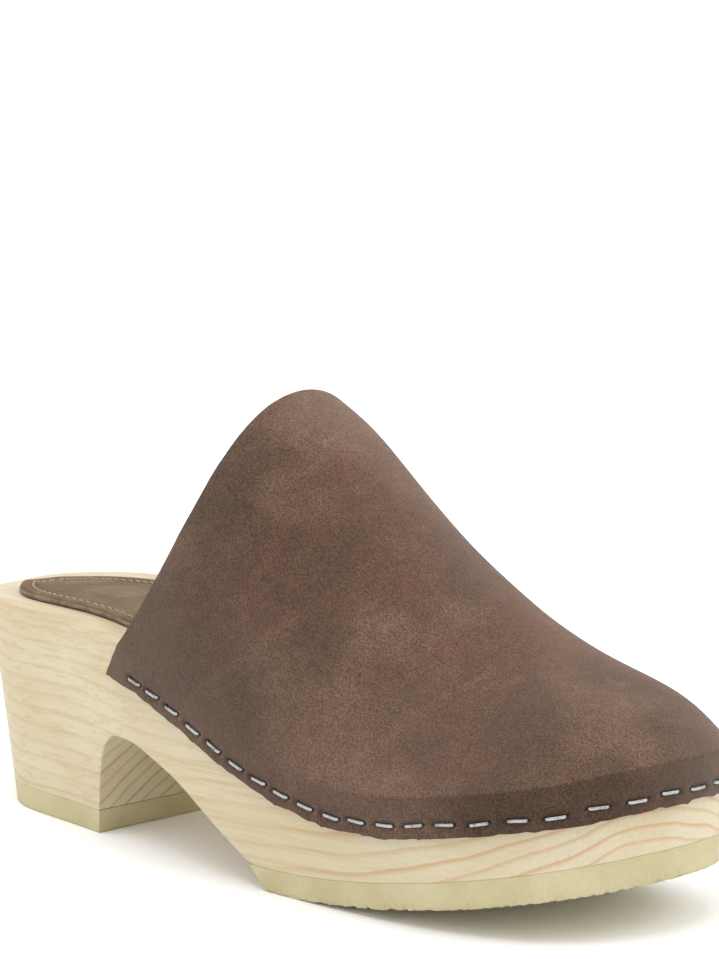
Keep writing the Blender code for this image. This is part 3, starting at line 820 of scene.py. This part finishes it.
def upper_columns(along, rows):
    """Points of the upper's outer face. Columns run along its cut edge, from the outer corner (0) to
    the inner one (1). Rows rise from the cut edge (-1) over the rim (0) to the ridge (1)."""
    along = np.asarray(along, float)
    start, end = CORNER_ARCS
    arc = start + along * (end - start)
    from_corner = 2 * np.minimum(along, 1 - along)
    side = np.where(along < 0.5, -1.0, 1.0)
    sweep = THROAT_SWEEP * np.clip(1 - from_corner / THROAT_SWEEP_SHARE, 0, 1)**2
    foot, normal = rim_at(arc - side * sweep)
    foot = foot + normal * UPPER_FACE
    foot_height = rim_height(foot[:, 0])

    ridge_share = 1 - (1 - np.clip(from_corner / RIDGE_SHARE, 0, 1))**RIDGE_EASE
    ridge_x = RIDGE_STATIONS[0] + (RIDGE_STATIONS[-1] - RIDGE_STATIONS[0]) * ridge_share
    ridge_z = ridge_height(ridge_x)
    ridge = np.column_stack([ridge_x, RIDGE_SIDE_SHIFT * ridge_share, ridge_z])
    slope = ridge_height(ridge_x + 0.5) - ridge_height(ridge_x - 0.5)
    reach = foot - ridge[:, :2]
    fan = smoothstep(FAN_START, 1, ridge_share)
    heading = side * (np.pi / 2) * (1 - fan) + np.arctan2(reach[:, 1], reach[:, 0]) * fan
    leave = np.column_stack([np.cos(heading), np.sin(heading), slope * np.cos(heading)])
    lean = THROAT_LEAN * np.clip(1 - from_corner / THROAT_LEAN_SHARE, 0, 1)**2
    inward = -normal * (TOE_LEAN * fan**2)[:, None]
    rise = np.column_stack([lean + inward[:, 0], inward[:, 1], np.ones_like(lean)])

    foot = np.column_stack([foot, foot_height])
    wall_handle = foot + rise * (WALL_FULLNESS * (ridge_z - foot_height))[:, None]
    ridge_handle = ridge + leave * (RIDGE_FULLNESS * np.linalg.norm(reach, axis=1))[:, None]
    edge_height = rim_height_at(arc) - UPPER_DROP
    edge, edge_normal = wall_at(arc, edge_height)
    edge = np.column_stack([edge + edge_normal * UPPER_FACE, edge_height])

    points = []
    for t in rows:
        if t < 0:
            points.append(foot + (edge - foot) * -t)
        else:
            points.append((1 - t)**3 * foot + 3 * (1 - t)**2 * t * wall_handle
                          + 3 * (1 - t) * t**2 * ridge_handle + t**3 * ridge)
    return np.array(points)


def weld(points, faces):
    """Joins points at the same place, and drops the faces that this leaves without an area."""
    keys = np.round(points, 3)
    _, first, index = np.unique(keys, axis=0, return_index=True, return_inverse=True)
    index = index.reshape(-1)
    kept = []
    for face in index[faces].tolist():
        corners = [v for k, v in enumerate(face) if v not in face[:k]]
        if len(corners) > 2:
            kept.append(corners)
    return points[first], kept


def skin_normals(points, faces):
    """Outward normals of a skin at its points."""
    mesh = bpy.data.meshes.new("skin")
    mesh.from_pydata(points, [], faces)
    mesh.update()
    normals = np.array([vertex.normal for vertex in mesh.vertices])
    bpy.data.meshes.remove(mesh)
    return normals


def border_edges(faces):
    """Edges that only one face has, in the direction in which that face has them."""
    edges = {(face[k], face[(k + 1) % len(face)]) for face in faces for k in range(len(face))}
    return sorted(edge for edge in edges if (edge[1], edge[0]) not in edges)


def thick_sheet(outer, inner, faces):
    """A closed solid between two skins with the same faces. Its last faces are its border."""
    count = len(outer)
    backs = [[v + count for v in face[::-1]] for face in faces]
    border = [[b, a, a + count, b + count] for a, b in border_edges(faces)]
    return np.vstack([outer, inner]), faces + backs + border, len(border)


def skin_of(strips, rows):
    """A welded skin on the upper's outer face, made of strips of columns."""
    points = []
    faces = []
    first = 0
    for along in strips:
        grid = upper_columns(along, rows)
        points.append(grid.reshape(-1, 3))
        faces.append(grid_faces(len(rows), len(along), closed=False, first=first))
        first += len(points[-1])
    return weld(np.vstack(points), np.vstack(faces))


EDGE_FRAY = 0.5
EDGE_NICK = 0.6
THROAT_FRAY = 0.35
PRESS_DEPTH = 0.5
PRESS_WIDTH = 1.1
HOLE_DEPTH = 0.9
HOLE_WIDTH = 0.5
LEATHER_WAVE = 0.28
LEATHER_WAVE_SIZE = 22
MARK_REACH = 6


def upper_grid():
    """The upper's outer face with its hand-cut edges."""
    edge_rows = -np.linspace(1, 0, UPPER_EDGE_ROWS + 1)[:-1]
    wall_rows = np.linspace(0, 1, UPPER_WALL_ROWS + 1)**1.25
    rows = np.r_[edge_rows, wall_rows]
    along = np.linspace(0, 1, UPPER_COLUMNS + 1)
    grid = upper_columns(along, rows)

    run = along * (CORNER_ARCS[1] - CORNER_ARCS[0])
    fray = EDGE_FRAY * (0.5 * wobble(run, 6.3, 21) + 0.5 * wobble(run, 2.1, 22))
    nicks = np.clip(wobble(run, 1.7, 23) - 0.45, 0, None) * EDGE_NICK * (wobble(run, 9, 24) > 0)
    down = unit(grid[0] - grid[1])
    for number, row in enumerate(edge_rows):
        near_edge = smoothstep(-0.62, -1, row)
        grid[number] += down * ((fray + nicks) * near_edge)[:, None]

    climb = distances_along(grid[:, 0])
    for first, step, seed in ((0, 1, 31), (-1, -1, 32)):
        cut = THROAT_FRAY * (wobble(climb, 7, seed) + 0.7 * wobble(climb, 2.3, seed + 2))
        cut *= 0.25 + 0.75 * smoothstep(30, 12, climb)
        cut *= smoothstep(0, 3, climb[-1] - climb)
        outward = grid[:, first] - grid[:, first + step]
        outward /= np.maximum(np.linalg.norm(outward, axis=1), 1e-6)[:, None]
        for k in range(4):
            grid[:, first + step * k] += outward * (cut * (1 - k / 4))[:, None]
    return grid


def staple_marks(points, frames):
    """How deep the staples press into the leather at each point, and how much painted shade darkens
    it round them, in the dimples and the holes.
    """
    depth = np.zeros(len(points))
    dark = np.zeros(len(points))
    for frame_matrix in frames:
        inverse = np.array(frame_matrix.inverted())
        local = points @ inverse[:3, :3].T + inverse[:3, 3]
        x, z = np.abs(local[:, 0]), local[:, 2]
        near = np.abs(local[:, 1]) < MARK_REACH
        reach = STAPLE_CROWN / 2
        over = np.hypot(np.clip(x - reach + 0.6, 0, None), z)
        press = PRESS_DEPTH * bump_at(over, PRESS_WIDTH) * near
        hole = bump_at(np.hypot(x - reach - 0.1, z), HOLE_WIDTH) * near
        depth = np.maximum(depth, press + HOLE_DEPTH * hole)
        # Painted shade: the leather is darkened over each staple's dimple and in the holes at its
        # ends.
        shade = np.maximum(0.6 * bump_at(over, 0.75) * near, hole)
        dark = np.maximum(dark, shade)
    return depth, dark


def leather_waves(points):
    """Slow, shallow waves in the leather."""
    values = [noise.noise(Vector(point) / LEATHER_WAVE_SIZE) for point in points]
    return LEATHER_WAVE * np.array(values)


def make_upper(frames, looks):
    grid = upper_grid()
    rows, columns = grid.shape[:2]
    skin, faces = weld(grid.reshape(-1, 3), grid_faces(rows, columns, closed=False))
    normals = skin_normals(skin, faces)
    depth, dark = staple_marks(skin, frames)
    wave = leather_waves(skin) * smoothstep(0, 12, skin[:, 2] - rim_height(skin[:, 0]))
    outer = skin + normals * (wave - depth)[:, None]
    inner = skin + normals * (wave - UPPER_THICKNESS)[:, None]
    points, solid, border = thick_sheet(outer, inner, faces)
    mesh = mesh_from("upper", points, solid, sharp_degrees=60)
    # The staple_shade attribute carries the painted shade in the staples' dimples and holes.
    shade = mesh.attributes.new("staple_shade", "FLOAT", "POINT")
    shade.data.foreach_set("value", np.r_[dark, np.zeros(len(dark))].astype(np.float32))
    piece(mesh, looks, "suede", "upper")
    which = np.zeros(len(solid), np.int32)
    which[len(faces):] = 1
    which[len(solid) - border:] = 2
    mesh.polygons.foreach_set("material_index", which)


def make_inner_layer(node, strips, thickness, look, slot):
    """A layer bonded to the inside of the upper, above the wood's rim."""
    rows = np.linspace(LINING_FOOT, 1, LAYER_ROWS)
    skin, faces = skin_of(strips, rows)
    normals = skin_normals(skin, faces)
    outer = skin - normals * (UPPER_THICKNESS + LINING_GAP)
    inner = outer - normals * thickness
    points, solid, _ = thick_sheet(outer, inner, faces)
    piece(mesh_from(node, points, solid), [look], slot, node)


def make_vamp_lining(look):
    outer = np.linspace(LINING_THROAT_MARGIN, PUFF_START, LINING_COLUMNS)
    strips = [outer, 1 - outer[::-1]]
    make_inner_layer("vamp_lining", strips, LINING_THICKNESS, look, "lining")


def make_toe_puff(look):
    start = PUFF_START + PUFF_CLEARANCE
    strips = [np.linspace(start, 1 - start, PUFF_COLUMNS)]
    make_inner_layer("toe_puff", strips, PUFF_THICKNESS, look, "stiffener")


# --- Materials ---

def colour(code):
    """Linear colour of a hex code such as e4d7bb."""
    values = [int(code[k:k + 2], 16) / 255 for k in (0, 2, 4)]
    return [v / 12.92 if v <= 0.04045 else ((v + 0.055) / 1.055)**2.4 for v in values] + [1.0]


class Look:
    """A material made of nodes on the frame's coordinates, in millimetres from the heel's back."""

    def __init__(self, name, settings):
        self.material = bpy.data.materials.new(name)
        self.material.use_nodes = True
        self.tree = self.material.node_tree
        self.shader = self.tree.nodes["Principled BSDF"]
        for key, value in settings.items():
            self.shader.inputs[key].default_value = value
        source = self.node("ShaderNodeTexCoord", {})
        scaled = self.vector("SCALE", source.outputs["Object"], scale=1 / MM)
        self.place = self.vector("SUBTRACT", scaled, tuple(SHIFT))
        self.normal = source.outputs["Normal"]

    def node(self, kind, inputs, **settings):
        made = self.tree.nodes.new(kind)
        for key, value in settings.items():
            setattr(made, key, value)
        for key, value in inputs.items():
            if isinstance(value, bpy.types.NodeSocket):
                self.tree.links.new(value, made.inputs[key])
            else:
                made.inputs[key].default_value = value
        return made

    def vector(self, operation, a, b=(0, 0, 0), scale=1.0):
        inputs = {0: a, 1: b, 3: scale}
        return self.node("ShaderNodeVectorMath", inputs, operation=operation).outputs[0]

    def math(self, operation, a, b=0.0, c=0.0):
        return self.node("ShaderNodeMath", {0: a, 1: b, 2: c}, operation=operation).outputs[0]

    def noise(self, scale, detail, roughness, at=None, distortion=0.0):
        inputs = {"Vector": at or self.place, "Scale": scale, "Detail": detail,
                  "Roughness": roughness, "Distortion": distortion}
        return self.node("ShaderNodeTexNoise", inputs).outputs["Fac"]

    def grain(self, scales, detail, roughness, turn=(0, 0, 0)):
        """Noise that varies that many times for each millimetre along x, y and z."""
        turned = self.node("ShaderNodeVectorRotate", {"Vector": self.place, "Rotation": turn},
                           rotation_type="EULER_XYZ").outputs[0]
        return self.noise(1.0, detail, roughness, self.vector("MULTIPLY", turned, scales))

    def times(self, a, b, plus=0.0):
        return self.math("MULTIPLY_ADD", a, b, plus)

    def cells(self, scale, feature):
        inputs = {"Vector": self.place, "Scale": scale}
        return self.node("ShaderNodeTexVoronoi", inputs, feature=feature).outputs["Distance"]

    def range(self, value, low, high, to_low=0.0, to_high=1.0):
        inputs = {0: value, 1: low, 2: high, 3: to_low, 4: to_high}
        return self.node("ShaderNodeMapRange", inputs, interpolation_type="SMOOTHSTEP").outputs[0]

    def mix(self, factor, a, b, blend="MIX"):
        inputs = {0: factor, 6: a, 7: b}
        return self.node("ShaderNodeMix", inputs, data_type="RGBA", blend_type=blend).outputs[2]

    def tones(self, value, low, high, first, second):
        """A colour that goes from one to another as a value rises."""
        return self.mix(self.range(value, low, high), colour(first), colour(second))

    def shaded(self, base, value, low, high, darkest, lightest):
        """The colour times a factor that rises with a value."""
        factor = self.range(value, low, high, darkest, lightest)
        grey = self.node("ShaderNodeCombineColor", {0: factor, 1: factor, 2: factor}).outputs[0]
        return self.mix(1.0, base, grey, "MULTIPLY")

    def split(self, vector):
        return self.node("ShaderNodeSeparateXYZ", {0: vector}).outputs

    def finish(self, base, height, millimetres, roughness=None):
        """The material, with that colour and with a bump of that depth."""
        inputs = {"Height": height, "Strength": 1.0, "Distance": millimetres * MM}
        sockets = {"Base Color": base, "Normal": self.node("ShaderNodeBump", inputs).outputs[0]}
        if roughness is not None:
            sockets["Roughness"] = roughness
        for key, value in sockets.items():
            self.tree.links.new(value, self.shader.inputs[key])
        return self.material


# The pith of the tree, round which the growth rings lie: its place at one station, and its slopes.
PITH_STATION = 75
PITH_Y, PITH_Y_SLOPE = 8, -0.05
PITH_Z, PITH_Z_SLOPE = -32, 0.06
RING_WIDTH = 3.5
GRAIN_TURN = (0.0, math.radians(2.5), 0.0)


def wood_look():
    look = Look("pale_alder", {})
    xyz = look.split(look.place)
    along = look.math("SUBTRACT", xyz[0], PITH_STATION)
    pith_y = look.times(along, PITH_Y_SLOPE, PITH_Y)
    pith_z = look.times(along, PITH_Z_SLOPE, PITH_Z)
    dy = look.math("SUBTRACT", xyz[1], pith_y)
    dz = look.math("SUBTRACT", xyz[2], pith_z)
    across = look.node("ShaderNodeCombineXYZ", {0: 0.0, 1: dy, 2: dz}).outputs[0]
    radius = look.node("ShaderNodeVectorMath", {0: across}, operation="LENGTH").outputs["Value"]
    drift = look.grain((0.008, 0.025, 0.025), 2, 0.5)
    ripple = look.grain((0.05, 0.12, 0.12), 1, 0.5)
    radius = look.times(drift, 9.0, radius)
    radius = look.times(ripple, 0.6, radius)
    turns = look.math("DIVIDE", radius, RING_WIDTH)
    phase = look.math("FRACT", turns)
    late = look.times(look.range(phase, 0.5, 0.93), look.range(phase, 1.0, 0.95))
    line = look.times(look.range(phase, 0.6, 0.9), look.range(phase, 1.0, 0.93))
    each_ring = look.node("ShaderNodeTexWhiteNoise", {"W": look.math("FLOOR", turns)},
                          noise_dimensions="1D").outputs["Value"]

    end_grain = look.range(look.math("ABSOLUTE", look.split(look.normal)[0]), 0.15, 0.75)
    forepart = look.range(xyz[0], 140.0, 205.0)
    strength = look.math("MAXIMUM", end_grain, forepart)

    fibre = look.grain((0.035, 1.3, 1.3), 4, 0.6)
    fine = look.grain((0.12, 4.0, 4.0), 3, 0.7)
    cloud = look.grain((0.02, 0.06, 0.06), 3, 0.5)
    base = look.tones(cloud, 0.35, 0.65, "c6b795", "cbc0a4")
    base = look.mix(look.times(late, 0.14), base, colour("bd9c69"))
    amount = look.times(strength, 0.42, 0.16)
    amount = look.times(amount, look.range(each_ring, 0.0, 1.0, 0.5, 1.0))
    ring_tone = look.mix(forepart, colour("a5824f"), colour("b98a58"))
    base = look.mix(look.times(line, amount), base, ring_tone)
    streaks = look.grain((0.005, 0.75, 0.75), 2, 0.5, GRAIN_TURN)
    lines = look.times(look.range(streaks, 0.5, 0.62), look.range(streaks, 0.7, 0.63))
    sides = look.times(strength, -0.15, 0.28)
    base = look.mix(look.times(lines, sides), base, colour("b39263"))
    base = look.shaded(base, fibre, 0.3, 0.7, 0.965, 1.03)
    base = look.shaded(base, fine, 0.3, 0.7, 0.97, 1.03)
    grain = look.times(line, -0.5, fine)
    return look.finish(base, grain, 0.05, look.range(fibre, 0.3, 0.7, 0.42, 0.6))


def crepe_look():
    look = Look("cream_crepe_rubber", {})
    cloud = look.noise(0.07, 3, 0.5)
    crumb = look.noise(1.6, 4, 0.65)
    grit = look.noise(5.0, 2, 0.6)
    base = look.tones(cloud, 0.35, 0.65, "b8ad84", "c2b892")
    base = look.shaded(base, crumb, 0.3, 0.7, 0.93, 1.05)
    base = look.shaded(base, grit, 0.25, 0.75, 0.96, 1.03)
    height = look.times(grit, 0.3, crumb)
    return look.finish(base, height, 0.12, look.range(crumb, 0.3, 0.7, 0.55, 0.75))


NAP_TURN = (0.0, math.radians(38), math.radians(-18))


def nubuck_look():
    look = Look("worn_brown_nubuck", {
        "Roughness": 0.85, "Sheen Weight": 0.5, "Sheen Roughness": 0.4,
        "Sheen Tint": colour("d8c8ba"), "Specular IOR Level": 0.2,
    })
    patches = look.noise(0.024, 2, 0.5, distortion=0.3)
    spread = look.noise(0.03, 2.5, 0.5, look.vector("ADD", look.place, (50, 80, 20)))
    mottle = look.noise(0.28, 4, 0.62)
    speckle = look.noise(1.9, 4, 0.85)
    fibre = look.noise(5.5, 2, 0.7)
    streak = look.grain((0.018, 0.1, 0.16), 3, 0.6, NAP_TURN)
    base = look.tones(patches, 0.3, 0.7, "4e3b2e", "5b4033")
    base = look.mix(look.range(spread, 0.42, 0.7, 0.0, 0.7), base, colour("6c5444"))
    base = look.mix(look.range(streak, 0.56, 0.78, 0.0, 0.2), base, colour("806858"))
    base = look.shaded(base, mottle, 0.3, 0.7, 0.9, 1.1)
    base = look.shaded(base, speckle, 0.38, 0.62, 0.55, 1.5)
    base = look.shaded(base, fibre, 0.38, 0.62, 0.8, 1.2)
    # Painted light and shade: the leather is lighter where it faces up and darker where it faces
    # sideways or down.
    base = look.shaded(base, look.split(look.normal)[2], -0.1, 0.75, 0.8, 1.14)
    # Painted shade round the staples: the leather goes towards near-black in their dimples and
    # holes.
    shade = look.node("ShaderNodeAttribute", {}, attribute_name="staple_shade").outputs["Fac"]
    base = look.mix(look.times(shade, 0.7), base, colour("1c130e"))
    return look.finish(base, look.times(speckle, 0.8, fibre), 0.22)


def flesh_look(name, dark, light):
    """The rough inner side or the cut edge of leather."""
    look = Look(name, {"Roughness": 0.9, "Sheen Weight": 0.15})
    fibre = look.noise(3.0, 4, 0.75)
    base = look.tones(look.noise(0.35, 3, 0.6), 0.3, 0.7, dark, light)
    base = look.shaded(base, fibre, 0.25, 0.75, 0.7, 1.25)
    return look.finish(base, fibre, 0.3)


def lining_look():
    look = Look("tan_lining_leather", {})
    pores = look.cells(1.3, "DISTANCE_TO_EDGE")
    cloud = look.noise(0.08, 3, 0.5)
    base = look.tones(cloud, 0.35, 0.65, "a98765", "bf9c78")
    base = look.shaded(base, pores, 0.0, 0.12, 0.88, 1.0)
    return look.finish(base, pores, 0.15, look.range(cloud, 0.3, 0.7, 0.5, 0.68))


def felt_look():
    """Pressed fibres, for the toe puff."""
    look = Look("toe_stiffener_felt", {"Roughness": 0.9})
    fibres = look.grain((1.2, 0.5, 1.6), 3, 0.7, (0.4, 0.7, 0.2))
    return look.finish(look.tones(fibres, 0.3, 0.7, "b8b19f", "cfc9b8"), fibres, 0.2)


def foam_look():
    look = Look("insole_foam", {"Roughness": 0.9})
    cells = look.cells(1.8, "F1")
    return look.finish(look.tones(cells, 0.1, 0.7, "cfc3a6", "e2d8bf"), cells, 0.3)


def sock_look():
    look = Look("grey_brown_insole_suede", {"Roughness": 0.85, "Specular IOR Level": 0.2})
    patches = look.noise(0.05, 3, 0.5)
    nap = look.grain((0.12, 0.45, 0.45), 4, 0.65)
    speckle = look.noise(1.6, 3, 0.7)
    base = look.tones(patches, 0.35, 0.65, "6a5642", "7b674f")
    base = look.shaded(base, nap, 0.3, 0.7, 0.84, 1.14)
    base = look.shaded(base, speckle, 0.25, 0.75, 0.86, 1.14)
    return look.finish(base, look.math("ADD", speckle, nap), 0.2)


def thread_look():
    look = Look("beige_thread", {"Roughness": 0.65})
    fibre = look.noise(4.0, 3, 0.6)
    return look.finish(look.tones(fibre, 0.3, 0.7, "95876f", "b3a58a"), fibre, 0.08)


def steel_look():
    look = Look("bright_staple_steel", {"Metallic": 1.0})
    drawn = look.noise(2.2, 4, 0.7)
    base = look.tones(look.noise(0.5, 3, 0.6), 0.45, 0.7, "adb1b2", "85847f")
    return look.finish(base, drawn, 0.05, look.range(drawn, 0.3, 0.7, 0.22, 0.42))


# --- Camera, floor and light ---

CAMERA_PLACE = (755.04, -601.22, 222.86)
CAMERA_YAW = 45.56
CAMERA_PITCH = -8.12
CAMERA_LENS = 126.2


def make_camera():
    camera = bpy.data.cameras.new("camera")
    camera.lens = CAMERA_LENS
    camera.clip_end = 200
    holder = add_object(camera)
    holder.location = place(CAMERA_PLACE)
    holder.rotation_euler = (math.radians(90 + CAMERA_PITCH), 0, math.radians(CAMERA_YAW))
    bpy.context.scene.camera = holder


FLOOR_REACH = 30.0
LIGHT_AIM = (0, 0, 0.05)


def make_floor():
    corners = np.array([(-1, -1, 0), (1, -1, 0), (1, 1, 0), (-1, 1, 0)]) * FLOOR_REACH
    mesh = bpy.data.meshes.new("studio_floor")
    mesh.from_pydata(corners, [], [(0, 1, 2, 3)])
    paper = Look("white_paper", {
        "Base Color": (0.985, 0.985, 0.985, 1), "Roughness": 0.9, "Specular IOR Level": 0.0,
    })
    mesh.materials.append(paper.material)
    floor = add_object(mesh)


def make_soft_light(name, azimuth, elevation, distance, size, power):
    """A square lamp that faces the clog. Azimuth 0 is in front of the outer side, 90 at the toe."""
    lamp = bpy.data.lights.new(name, "AREA")
    lamp.shape = "SQUARE"
    lamp.size = size
    lamp.energy = power
    around, up = math.radians(azimuth), math.radians(elevation)
    away = Vector((math.sin(around) * math.cos(up), -math.cos(around) * math.cos(up), math.sin(up)))
    holder = add_object(lamp)
    holder.location = Vector(LIGHT_AIM) + away * distance
    holder.rotation_euler = away.to_track_quat("Z", "Y").to_euler()


def make_world(strength):
    world = bpy.data.worlds.new("studio")
    world.use_nodes = True
    sky = world.node_tree.nodes["Background"]
    sky.inputs["Color"].default_value = (1, 1, 1, 1)
    sky.inputs["Strength"].default_value = strength
    bpy.context.scene.world = world


def make_studio():
    make_camera()
    make_floor()
    make_world(strength=1.06)
    make_soft_light("toe_side", azimuth=128, elevation=36, distance=1.7, size=1.0, power=6)
    make_soft_light("top", azimuth=10, elevation=80, distance=1.8, size=1.3, power=14)
    view = bpy.context.scene.view_settings
    view.view_transform = "Standard"
    view.look = "None"
    view.exposure = 0.0


# --- Assembly ---


def main():
    make_studio()
    crepe = crepe_look()
    flesh = flesh_look("leather_flesh_side", "6b5140", "876a55")
    raw_edge = flesh_look("raw_leather_edge", "4a3629", "6e5444")
    frames = staple_frames()
    make_wood_base(wood_look())
    make_heel_toplift(crepe)
    make_forepart_outsole(crepe)
    make_insole_foam(foam_look())
    make_insole_cover(sock_look(), flesh_look("insole_cut_edge", "6e4f40", "977a66"))
    make_insole_stitching(thread_look())
    make_upper(frames, [nubuck_look(), flesh, raw_edge])
    make_vamp_lining(lining_look())
    make_toe_puff(felt_look())
    make_staples(frames, steel_look())


main()
